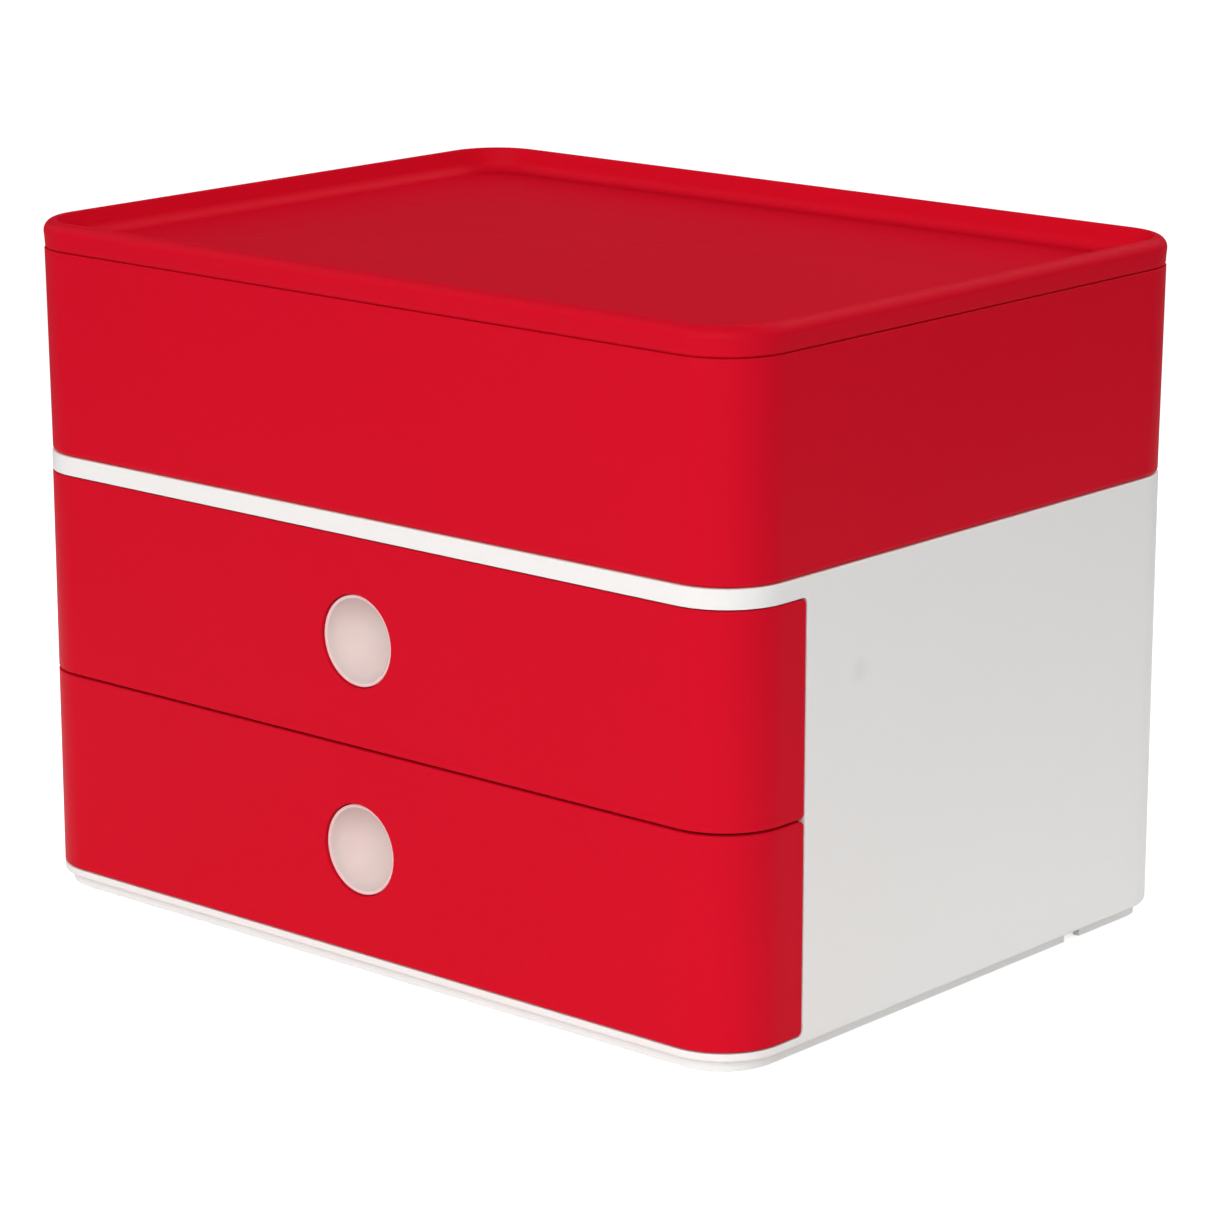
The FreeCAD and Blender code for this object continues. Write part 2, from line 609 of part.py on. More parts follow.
# A turned form about the grip's own axis: rim, flange, neck, snap bead and dished bowl
def build_grip(label, level):
    body = new_body(label, y=f"sizes.grip_recess - {house_plan[1]}", z=level)
    profile = new_sketch(body, "YZ_Plane", "profile")
    neck = "(sizes.grip_radius - sizes.grip_step)"
    bead_start = "(sizes.drawer_wall + sizes.grip_boss_depth - sizes.grip_recess)"
    bead_end = f"({bead_start} + sizes.grip_bead_length)"
    mouth = "(sizes.grip_radius - sizes.grip_rim)"
    bottom = "(sizes.grip_depth + sizes.grip_cup_wall)"
    points = [("0", mouth), ("0", "sizes.grip_radius"), ("sizes.grip_flange", "sizes.grip_radius"),
              ("sizes.grip_flange", neck), (bead_start, neck),
              (f"{bead_start} + sizes.grip_bead", f"{neck} + sizes.grip_bead"),
              (bead_end, neck), (bottom, "0"), ("sizes.grip_depth", "0")]
    places = [FreeCAD.Vector(number(x), number(y), 0) for x, y in points]
    outer_arc, inner_arc = 6, 8
    geometry = []
    for i, place in enumerate(places):
        after = places[(i + 1) % len(places)]
        if i not in (outer_arc, inner_arc):
            geometry.append(Part.LineSegment(place, after))
            continue
        rim, pole = (place, after) if i == outer_arc else (after, place)
        centre_x = (pole.x ** 2 - rim.x ** 2 - rim.y ** 2) / (pole.x - rim.x) / 2
        centre = FreeCAD.Vector(centre_x, 0, 0)
        circle = Part.Circle(centre, FreeCAD.Vector(0, 0, 1), pole.x - centre_x)
        geometry.append(Part.ArcOfCircle(circle, 0, math.atan2(rim.y, rim.x - centre_x)))
    profile.addGeometry(geometry)
    count = len(points)
    plain = []
    driven = []
    for i in range(count):
        end = 1 if i == outer_arc else 2
        start_next = 2 if (i + 1) % count == outer_arc else 1
        plain.append(Sketcher.Constraint("Coincident", i, end, (i + 1) % count, start_next))
        if i in (outer_arc, inner_arc):
            plain.append(Sketcher.Constraint("PointOnObject", i, 3, -1))
            continue
        driven.append(tie("DistanceX", i, 1, points[i][0]))
        driven.append(tie("DistanceY", i, 1, points[i][1]))
    driven.append(tie("DistanceX", outer_arc, 2, points[outer_arc][0]))
    driven.append(tie("DistanceY", outer_arc, 2, points[outer_arc][1]))
    driven.append(tie("DistanceX", inner_arc, 1, points[inner_arc][0]))
    driven.append(tie("DistanceY", inner_arc, 1, points[inner_arc][1]))
    constrain(profile, plain, driven)
    turned = body.newObject("PartDesign::Revolution", f"{label}_turned")
    turned.Profile = profile
    turned.ReferenceAxis = (profile, ["H_Axis"])
    turned.Angle = 360
    doc.recompute()


# The open box: drafted walls, slots for dividers and a nesting ring under its floor
def build_storage_box():
    body = new_body("storage_box", z=house_top)
    shell = new_sketch(body, "XY_Plane", "shell")
    draw_plan(shell, inset(overall_plan, "sizes.box_bottom_inset"))
    draft = "atan((sizes.box_bottom_inset - sizes.box_top_inset) / sizes.box_height)"
    pad(body, shell, "shell", "sizes.box_height", taper=draft)
    dress(body, "Fillet", level_edges(body.Tip.Shape, "0"), "bottom_edge", "sizes.box_bottom_round")
    dress(body, "Chamfer", level_edges(body.Tip.Shape, "sizes.box_height"), "top_edge",
          "sizes.box_rim_chamfer")
    hollow = new_sketch(body, "XY_Plane", "hollow", "sizes.box_floor")
    bottom_inner = inset(overall_plan, "(sizes.box_bottom_inset + sizes.box_wall)")
    draw_plan(hollow, bottom_inner)
    pocket(body, hollow, "hollow", "sizes.box_height", reverse=True, taper=draft)
    add_nesting_ring(body, "0", "sizes.band_height - sizes.deck_thickness - sizes.nesting_gap")
    carrier = {"half_width": bottom_inner[0], "back": bottom_inner[1], "wall": "sizes.box_wall",
               "floor": "sizes.box_floor", "row": "(-sizes.side_slot_pitch)"}
    add_slots(body, carrier)
    build_dividers("storage_box", carrier, house_top)


# The edges along the top of the lid's rim, on its outside or on its inside
def rim_edges(shape, outer):
    height = number("sizes.lid_height")
    half_width = number("(sizes.overall_width - sizes.tray_wall) / 2")
    half_depth = number("(sizes.overall_depth - sizes.tray_wall) / 2")

    def wanted(edge):
        box = edge.BoundBox
        at_top = abs(box.ZMin - height) < nearness and abs(box.ZMax - height) < nearness
        far_x = max(-box.XMin, box.XMax) > half_width
        far_y = max(-box.YMin, box.YMax) > half_depth
        return at_top and (far_x or far_y) == outer

    return edge_names(shape, wanted)


# The lid: a tray on top, its floor sunk a little into the storage box, and a lip underneath that
# drops inside the box
def build_lid():
    body = new_body("tray_lid", z=lid_bottom)
    block = new_sketch(body, "XY_Plane", "block")
    draw_plan(block, inset(overall_plan, "sizes.lid_bottom_inset"))
    lean = "atan(sizes.lid_bottom_inset / (sizes.lid_height - sizes.rim_outer_round))"
    pad(body, block, "block", "sizes.lid_height", taper=lean)
    dress(body, "Fillet", level_edges(body.Tip.Shape, "0"), "bottom_edge", "sizes.lid_bottom_round")
    lip_plan = inset(overall_plan, "(sizes.box_top_inset + sizes.box_wall + sizes.lip_clearance)")
    sunk_floor = new_sketch(body, "XY_Plane", "sunk_floor")
    draw_plan(sunk_floor, lip_plan)
    pad(body, sunk_floor, "sunk_floor", "sizes.tray_depth + sizes.tray_floor_wall - sizes.lid_height",
        reverse=True)
    tray_floor = "(sizes.lid_height - sizes.tray_depth)"
    tray = new_sketch(body, "XY_Plane", "tray", tray_floor)
    draw_plan(tray, inset(overall_plan, "(sizes.tray_wall + sizes.tray_draft)"))
    tray_taper = "atan(sizes.tray_draft / sizes.tray_depth)"
    pocket(body, tray, "tray", "sizes.lid_height", reverse=True, taper=tray_taper)
    dress(body, "Fillet", level_edges(body.Tip.Shape, tray_floor), "tray_cove", "sizes.tray_cove")
    dress(body, "Fillet", rim_edges(body.Tip.Shape, outer=False), "rim_inner", "sizes.rim_inner_round")
    dress(body, "Fillet", rim_edges(body.Tip.Shape, outer=True), "rim_outer", "sizes.rim_outer_round")
    lip = new_sketch(body, "XY_Plane", "lip")
    draw_plan(lip, lip_plan)
    draw_plan(lip, inset(lip_plan, "sizes.lip_wall"))
    pad(body, lip, "lip", "sizes.lip_depth", reverse=True)


build_housing()
build_feet()
build_drawer("upper_drawer", upper_bay)
build_drawer("lower_drawer", lower_bay)
build_storage_box()
build_lid()
doc.recompute()

broken = [item.Name for item in doc.Objects if {"Invalid", "Error"} & set(item.State)]
if broken:
    raise RuntimeError(f"failed objects: {broken}")
for part in parts:
    if part.Shape.isNull() or not part.Shape.isValid() or len(part.Shape.Solids) != 1:
        raise RuntimeError(f"{part.Label} is not one valid solid")

os.makedirs("parts", exist_ok=True)
for part in parts:
    part.Shape.exportStep(os.path.join("parts", f"{part.Label}.step"))
    print(part.Label, round(part.Shape.Volume), part.Shape.BoundBox)
print("drawer travel", round(number(drawer_travel), 3))
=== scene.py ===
# Desk drawer box: finishes, small moulded details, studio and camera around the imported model
import bpy
import math
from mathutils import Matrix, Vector


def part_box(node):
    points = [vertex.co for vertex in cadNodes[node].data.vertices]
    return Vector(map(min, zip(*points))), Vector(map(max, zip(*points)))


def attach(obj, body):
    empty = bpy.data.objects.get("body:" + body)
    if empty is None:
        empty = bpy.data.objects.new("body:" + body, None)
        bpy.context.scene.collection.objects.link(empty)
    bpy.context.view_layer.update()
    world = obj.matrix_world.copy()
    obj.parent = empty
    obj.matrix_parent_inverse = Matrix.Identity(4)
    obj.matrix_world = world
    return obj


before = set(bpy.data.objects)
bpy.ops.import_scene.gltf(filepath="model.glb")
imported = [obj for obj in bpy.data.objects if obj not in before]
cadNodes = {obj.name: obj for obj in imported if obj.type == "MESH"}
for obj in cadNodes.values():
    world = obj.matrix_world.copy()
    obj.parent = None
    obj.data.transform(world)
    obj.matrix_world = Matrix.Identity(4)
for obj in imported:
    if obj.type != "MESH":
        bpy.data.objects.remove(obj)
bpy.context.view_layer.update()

mm = 0.001
studioScene = bpy.context.scene
print("frame loaded:", len(cadNodes), "nodes")


# Small helpers for node trees

def addNode(tree, kind, label=None, **values):
    node = tree.nodes.new(kind)
    for name, value in values.items():
        setattr(node, name, value)
    if label:
        node.label = label
    return node


def link(tree, source, target):
    tree.links.new(source, target)


def calculate(tree, operation, first, second=None):
    node = addNode(tree, "ShaderNodeMath", operation=operation)
    for socket, value in zip(node.inputs, (first, second)):
        if value is None:
            continue
        if isinstance(value, (int, float)):
            socket.default_value = value
        else:
            link(tree, value, socket)
    return node.outputs[0]


# A smooth step over a range of values, from the first result to the second
def addRamp(tree, valueRange, results=(0, 1), interpolation="SMOOTHSTEP"):
    ramp = addNode(tree, "ShaderNodeMapRange", interpolation_type=interpolation)
    ramp.inputs["From Min"].default_value, ramp.inputs["From Max"].default_value = valueRange
    ramp.inputs["To Min"].default_value, ramp.inputs["To Max"].default_value = results
    return ramp


def newGroup(name, inputs, outputs):
    group = bpy.data.node_groups.new(name, "ShaderNodeTree")
    for label, kind, value in inputs:
        socket = group.interface.new_socket(label, in_out="INPUT", socket_type=kind)
        socket.default_value = value
    for label, kind in outputs:
        group.interface.new_socket(label, in_out="OUTPUT", socket_type=kind)
    return group, group.nodes.new("NodeGroupInput"), group.nodes.new("NodeGroupOutput")


def newMaterial(name, constants):
    material = bpy.data.materials.new(name)
    material.use_nodes = True
    shader = material.node_tree.nodes["Principled BSDF"]
    for socket, value in constants.items():
        shader.inputs[socket].default_value = value
    return material, material.node_tree, shader


# Finishes

skinPattern = {
    "grainDetail": 2.0,
    "flowDetail": 3.0,
    "flowDistortion": 0.6,
    "flowMiddle": 0.5,
    "hairlineTurn": (0.3, 0.5, 0.7),
    "hairlineStretch": (1, 14, 14),
    "hairlineScale": 38.0,
    "hairlineDetail": 5.0,
    "hairlineRange": (0.56, 0.70),
    "edgeSamples": 4,
}


# The skin of a moulded plastic piece: fine spark-eroded grain, a slow wave left by the melt as it
# froze, a faint drift of colour and gloss along the flow, hairline scuffs from handling, and edges
# that are polished and a little rounded where fingers and neighbouring pieces rub
def buildMouldedSkin():
    group, given, result = newGroup("mouldedSkin", [
        ("Colour", "NodeSocketColor", (0.5, 0.5, 0.5, 1)),
        ("Flow Tint", "NodeSocketColor", (0.5, 0.5, 0.5, 1)),
        ("Grain Scale", "NodeSocketFloat", 2800.0),
        ("Grain Share", "NodeSocketFloat", 0.5),
        ("Flow Scale", "NodeSocketFloat", 9.0),
        ("Gloss", "NodeSocketFloat", 0.35),
        ("Gloss Drift", "NodeSocketFloat", 0.05),
        ("Scuff Share", "NodeSocketFloat", 0.04),
        ("Edge Radius", "NodeSocketFloat", 0.00025),
        ("Edge Polish", "NodeSocketFloat", 0.10),
    ], [("Colour", "NodeSocketColor"), ("Roughness", "NodeSocketFloat"), ("Height", "NodeSocketFloat"),
        ("Rounded Normal", "NodeSocketVector")])
    place = addNode(group, "ShaderNodeTexCoord").outputs["Object"]
    grain = addNode(group, "ShaderNodeTexNoise", "grain")
    grain.inputs["Detail"].default_value = skinPattern["grainDetail"]
    link(group, place, grain.inputs["Vector"])
    link(group, given.outputs["Grain Scale"], grain.inputs["Scale"])
    flow = addNode(group, "ShaderNodeTexNoise", "flow")
    flow.inputs["Detail"].default_value = skinPattern["flowDetail"]
    flow.inputs["Distortion"].default_value = skinPattern["flowDistortion"]
    link(group, place, flow.inputs["Vector"])
    link(group, given.outputs["Flow Scale"], flow.inputs["Scale"])
    tint = addNode(group, "ShaderNodeMix", data_type="RGBA")
    link(group, flow.outputs["Fac"], tint.inputs["Factor"])
    link(group, given.outputs["Colour"], tint.inputs["A"])
    link(group, given.outputs["Flow Tint"], tint.inputs["B"])
    link(group, tint.outputs["Result"], result.inputs["Colour"])
    drift = calculate(group, "SUBTRACT", flow.outputs["Fac"], skinPattern["flowMiddle"])
    drift = calculate(group, "MULTIPLY", drift, given.outputs["Gloss Drift"])
    rough = calculate(group, "ADD", given.outputs["Gloss"], drift)
    stretched = addNode(group, "ShaderNodeMapping")
    stretched.inputs["Rotation"].default_value = skinPattern["hairlineTurn"]
    stretched.inputs["Scale"].default_value = skinPattern["hairlineStretch"]
    link(group, place, stretched.inputs["Vector"])
    hairlines = addNode(group, "ShaderNodeTexNoise", "hairlines")
    hairlines.inputs["Scale"].default_value = skinPattern["hairlineScale"]
    hairlines.inputs["Detail"].default_value = skinPattern["hairlineDetail"]
    link(group, stretched.outputs["Vector"], hairlines.inputs["Vector"])
    scuffs = addRamp(group, skinPattern["hairlineRange"])
    link(group, hairlines.outputs["Fac"], scuffs.inputs["Value"])
    scuffed = calculate(group, "MULTIPLY", scuffs.outputs["Result"], given.outputs["Scuff Share"])
    rough = calculate(group, "ADD", rough, scuffed)
    rounded = addNode(group, "ShaderNodeBevel", samples=skinPattern["edgeSamples"])
    link(group, given.outputs["Edge Radius"], rounded.inputs["Radius"])
    link(group, rounded.outputs["Normal"], result.inputs["Rounded Normal"])
    flatness = addNode(group, "ShaderNodeVectorMath", operation="DOT_PRODUCT")
    link(group, rounded.outputs["Normal"], flatness.inputs[0])
    link(group, addNode(group, "ShaderNodeNewGeometry").outputs["Normal"], flatness.inputs[1])
    edge = calculate(group, "SUBTRACT", 1.0, flatness.outputs["Value"])
    polish = calculate(group, "MULTIPLY", edge, given.outputs["Edge Polish"])
    link(group, calculate(group, "SUBTRACT", rough, polish), result.inputs["Roughness"])
    fine = calculate(group, "MULTIPLY", grain.outputs["Fac"], given.outputs["Grain Share"])
    link(group, calculate(group, "ADD", fine, flow.outputs["Fac"]), result.inputs["Height"])
    return group


mouldedSkin = buildMouldedSkin()


def applySkin(tree, shader, finish):
    skin = addNode(tree, "ShaderNodeGroup", node_tree=mouldedSkin)
    for socket, value in finish["skin"].items():
        skin.inputs[socket].default_value = value
    link(tree, skin.outputs["Colour"], shader.inputs["Base Color"])
    link(tree, skin.outputs["Roughness"], shader.inputs["Roughness"])
    bump = addNode(tree, "ShaderNodeBump")
    bump.inputs["Strength"].default_value = finish["bumpStrength"]
    bump.inputs["Distance"].default_value = finish["bumpDepth"]
    link(tree, skin.outputs["Height"], bump.inputs["Height"])
    link(tree, skin.outputs["Rounded Normal"], bump.inputs["Normal"])
    link(tree, bump.outputs["Normal"], shader.inputs["Normal"])
    return skin, bump


redPlastic = {
    "shader": {"Specular IOR Level": 0.04},
    "skin": {"Colour": (0.652, 0.0046, 0.0200, 1), "Flow Tint": (0.632, 0.0043, 0.0190, 1),
             "Gloss": 0.38, "Gloss Drift": 0.06},
    "bumpStrength": 0.12,
    "bumpDepth": 0.06 * mm,
}
whitePlastic = {
    "shader": {"Specular IOR Level": 0.25},
    "skin": {"Colour": (0.898, 0.885, 0.868, 1), "Flow Tint": (0.884, 0.871, 0.853, 1),
             "Gloss": 0.40, "Gloss Drift": 0.05},
    "bumpStrength": 0.12,
    "bumpDepth": 0.06 * mm,
}
gripPlastic = {
    "shader": {"Specular IOR Level": 0.4, "Subsurface Weight": 0.35, "Subsurface Scale": 4 * mm,
               "Subsurface Radius": (1.0, 0.7, 0.6)},
    "skin": {"Colour": (0.760, 0.620, 0.590, 1), "Flow Tint": (0.742, 0.602, 0.572, 1),
             "Gloss": 0.42, "Gloss Drift": 0.04, "Flow Scale": 60.0},
    "bumpStrength": 0.10,
    "bumpDepth": 0.04 * mm,
}
dividerPlastic = {
    "shader": {"Specular IOR Level": 0.35},
    "skin": {"Colour": (0.80, 0.80, 0.78, 1), "Flow Tint": (0.78, 0.78, 0.76, 1),
             "Gloss": 0.5, "Gloss Drift": 0.05},
    "bumpStrength": 0.14,
    "bumpDepth": 0.06 * mm,
}
# Painted highlight on the grip's flat rim: a paler, pinker colour that stands in for light on the rim and
# red light from the drawer front
gripRimPaintedHighlight = {
    "pieces": ("lower_drawer_grip", "upper_drawer_grip"),
    "colour": (1.0, 0.67, 0.66, 1),
    "innerRadius": 11.45 * mm,
    "outerRadius": 11.65 * mm,
}
# Sink mark: the depth makes a real dent in the bump; the tint is painted shade that darkens the colour
# over the dent
sinkDentAndPaintedShade = {
    "fromMiddle": -47.2 * mm,
    "level": 98.0 * mm,
    "radius": 5.2 * mm,
    "tint": 0.94,
    "depth": 1.0,
}
footRubber = {
    "shader": {"Specular IOR Level": 0.3},
    "skin": {"Colour": (0.55, 0.55, 0.53, 1), "Flow Tint": (0.50, 0.50, 0.48, 1),
             "Gloss": 0.8, "Gloss Drift": 0.05, "Flow Scale": 220.0},
    "bumpStrength": 0.25,
    "bumpDepth": 0.08 * mm,
}


def makeFinish(name, finish):
    material, tree, shader = newMaterial(name, finish["shader"])
    applySkin(tree, shader, finish)
    return material


# The grip's flat rim is painted paler and pinker than its bowl: a painted highlight, with the painted
# glow of red light leaking into it from the drawer front around it
def makeGripFinish():
    material, tree, shader = newMaterial("gripPlastic", gripPlastic["shader"])
    skin = applySkin(tree, shader, gripPlastic)[0]
    place = addNode(tree, "ShaderNodeSeparateXYZ")
    link(tree, addNode(tree, "ShaderNodeTexCoord").outputs["Object"], place.inputs["Vector"])
    acrossSquared = calculate(tree, "POWER", place.outputs["X"], 2.0)
    reaches = []
    for gripName in gripRimPaintedHighlight["pieces"]:
        low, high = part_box(gripName)
        height = calculate(tree, "SUBTRACT", place.outputs["Z"], (low[2] + high[2]) / 2)
        squares = calculate(tree, "ADD", calculate(tree, "POWER", height, 2.0), acrossSquared)
        reaches.append(calculate(tree, "SQRT", squares))
    # Ring mask where the painted rim highlight replaces the grip's own colour
    paintedRimHighlight = addRamp(tree, (gripRimPaintedHighlight["innerRadius"], gripRimPaintedHighlight["outerRadius"]))
    link(tree, calculate(tree, "MINIMUM", *reaches), paintedRimHighlight.inputs["Value"])
    tint = addNode(tree, "ShaderNodeMix", data_type="RGBA")
    link(tree, paintedRimHighlight.outputs["Result"], tint.inputs["Factor"])
    link(tree, skin.outputs["Colour"], tint.inputs["A"])
    tint.inputs["B"].default_value = gripRimPaintedHighlight["colour"]
    link(tree, tint.outputs["Result"], shader.inputs["Base Color"])
    return material


# The housing's right wall has a faint round sink mark, such as a boss behind a moulded wall leaves: a
# shallow dent in the bump, with painted shade that darkens its colour
def makeHousingFinish():
    material, tree, shader = newMaterial("whitePlastic", whitePlastic["shader"])
    skin, bump = applySkin(tree, shader, whitePlastic)
    reach = addNode(tree, "ShaderNodeVectorMath", operation="DISTANCE")
    link(tree, addNode(tree, "ShaderNodeTexCoord").outputs["Object"], reach.inputs[0])
    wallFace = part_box("housing")[1][0]
    reach.inputs[1].default_value = (wallFace, sinkDentAndPaintedShade["fromMiddle"], sinkDentAndPaintedShade["level"])
    dentAndShadeSpot = addRamp(tree, (0, sinkDentAndPaintedShade["radius"]), (1, 0), "SMOOTHERSTEP")
    link(tree, reach.outputs["Value"], dentAndShadeSpot.inputs["Value"])
    # Painted shade: the colour is darkened inside the sink mark
    shade = addNode(tree, "ShaderNodeMix", data_type="RGBA", blend_type="MULTIPLY")
    link(tree, dentAndShadeSpot.outputs["Result"], shade.inputs["Factor"])
    link(tree, skin.outputs["Colour"], shade.inputs["A"])
    shade.inputs["B"].default_value = (sinkDentAndPaintedShade["tint"], sinkDentAndPaintedShade["tint"], sinkDentAndPaintedShade["tint"], 1)
    link(tree, shade.outputs["Result"], shader.inputs["Base Color"])
    dent = calculate(tree, "MULTIPLY", dentAndShadeSpot.outputs["Result"], sinkDentAndPaintedShade["depth"])
    link(tree, calculate(tree, "SUBTRACT", skin.outputs["Height"], dent), bump.inputs["Height"])
    return material


finishes = {
    "redPlastic": makeFinish("redPlastic", redPlastic),
    "whitePlastic": makeHousingFinish(),
    "gripPlastic": makeGripFinish(),
    "dividerPlastic": makeFinish("dividerPlastic", dividerPlastic),
    "footRubber": makeFinish("footRubber", footRubber),
}
print("finishes made:", len(finishes))


def finishFor(nodeName):
    for part, finish in (("grip", "gripPlastic"), ("divider", "dividerPlastic"), ("foot", "footRubber"),
                         ("housing", "whitePlastic")):
        if part in nodeName:
            return finishes[finish]
    return finishes["redPlastic"]


# Surfaces of the moulded pieces

smoothing = {
    "weldDistance": 0.002 * mm,
    "creaseAngle": math.radians(32),
    "faceWeight": 80,
}


# Welds the loose triangles of a piece, and shades them smooth up to the crease angle
def buildSmoothShell():
    tree = bpy.data.node_groups.new("smoothShell", "GeometryNodeTree")
    tree.interface.new_socket("Geometry", in_out="INPUT", socket_type="NodeSocketGeometry")
    tree.interface.new_socket("Weld Distance", in_out="INPUT", socket_type="NodeSocketFloat")
    tree.interface.new_socket("Crease Angle", in_out="INPUT", socket_type="NodeSocketFloat")
    tree.interface.new_socket("Geometry", in_out="OUTPUT", socket_type="NodeSocketGeometry")
    given = tree.nodes.new("NodeGroupInput")
    result = tree.nodes.new("NodeGroupOutput")
    weld = tree.nodes.new("GeometryNodeMergeByDistance")
    link(tree, given.outputs["Geometry"], weld.inputs["Geometry"])
    link(tree, given.outputs["Weld Distance"], weld.inputs["Distance"])
    faces = addNode(tree, "GeometryNodeSetShadeSmooth", domain="FACE")
    link(tree, weld.outputs["Geometry"], faces.inputs["Geometry"])
    edges = addNode(tree, "GeometryNodeSetShadeSmooth", domain="EDGE")
    edges.inputs["Shade Smooth"].default_value = False
    sharp = addNode(tree, "FunctionNodeCompare", data_type="FLOAT", operation="GREATER_THAN")
    angle = tree.nodes.new("GeometryNodeInputMeshEdgeAngle")
    link(tree, angle.outputs["Unsigned Angle"], sharp.inputs["A"])
    link(tree, given.outputs["Crease Angle"], sharp.inputs["B"])
    link(tree, faces.outputs["Geometry"], edges.inputs["Geometry"])
    link(tree, sharp.outputs["Result"], edges.inputs["Selection"])
    link(tree, edges.outputs["Geometry"], result.inputs["Geometry"])
    return tree


def socketId(tree, name):
    return next(item.identifier for item in tree.interface.items_tree
                if item.name == name and item.in_out == "INPUT")


smoothShell = buildSmoothShell()
for nodeName, piece in cadNodes.items():
    shell = piece.modifiers.new("smoothShell", "NODES")
    shell.node_group = smoothShell
    shell[socketId(smoothShell, "Weld Distance")] = smoothing["weldDistance"]
    shell[socketId(smoothShell, "Crease Angle")] = smoothing["creaseAngle"]
    normals = piece.modifiers.new("weightedNormals", "WEIGHTED_NORMAL")
    normals.keep_sharp = True
    normals.weight = smoothing["faceWeight"]
    piece.data.materials.clear()
    piece.data.materials.append(finishFor(nodeName))
print("pieces dressed:", len(cadNodes))


# Witness rings that the ejector pins leave on floors and undersides. Levels are measured from
# the lowest or highest point of a node
pinMarks = {
    "ringRadius": 2.6 * mm,
    "ridge": 0.15 * mm,
    "ringSteps": 28,
    "ridgeSteps": 6,
    "gateRadius": 1.3 * mm,
    "gateHeight": 0.4 * mm,
    "gateSideSteps": 2,
}
pinFields = {
    "upperDrawerPinMarks": {"body": "upper_drawer", "from": ("upper_drawer_long_divider", 0), "rise": 0,
                            "centre": (0, 2.5 * mm), "spacing": (85 * mm, 45 * mm), "count": (3, 4)},
    "lowerDrawerPinMarks": {"body": "lower_drawer", "from": ("lower_drawer_long_divider", 0), "rise": 0,
                            "centre": (0, 2.5 * mm), "spacing": (85 * mm, 45 * mm), "count": (3, 4)},
    "storageBoxPinMarks": {"body": "storage_box", "from": ("storage_box_long_divider", 0), "rise": 0,
                           "centre": (0, 3 * mm), "spacing": (85 * mm, 50 * mm), "count": (3, 4)},
    "lidPinMarks": {"body": "tray_lid", "from": ("tray_lid", 1), "rise": -9.0 * mm, "centre": (0, 0),
                    "spacing": (70 * mm, 60 * mm), "count": (4, 3), "gate": True},
    "deckPinMarks": {"body": "housing", "from": ("housing", 1), "rise": -3.0 * mm, "centre": (0, 0),
                     "spacing": (75 * mm, 55 * mm), "count": (4, 4)},
    "undersidePinMarks": {"body": "housing", "from": ("housing", 0), "rise": 2.9 * mm, "centre": (0, 0),
                          "spacing": (60 * mm, 60 * mm), "count": (4, 3), "gate": True},
}


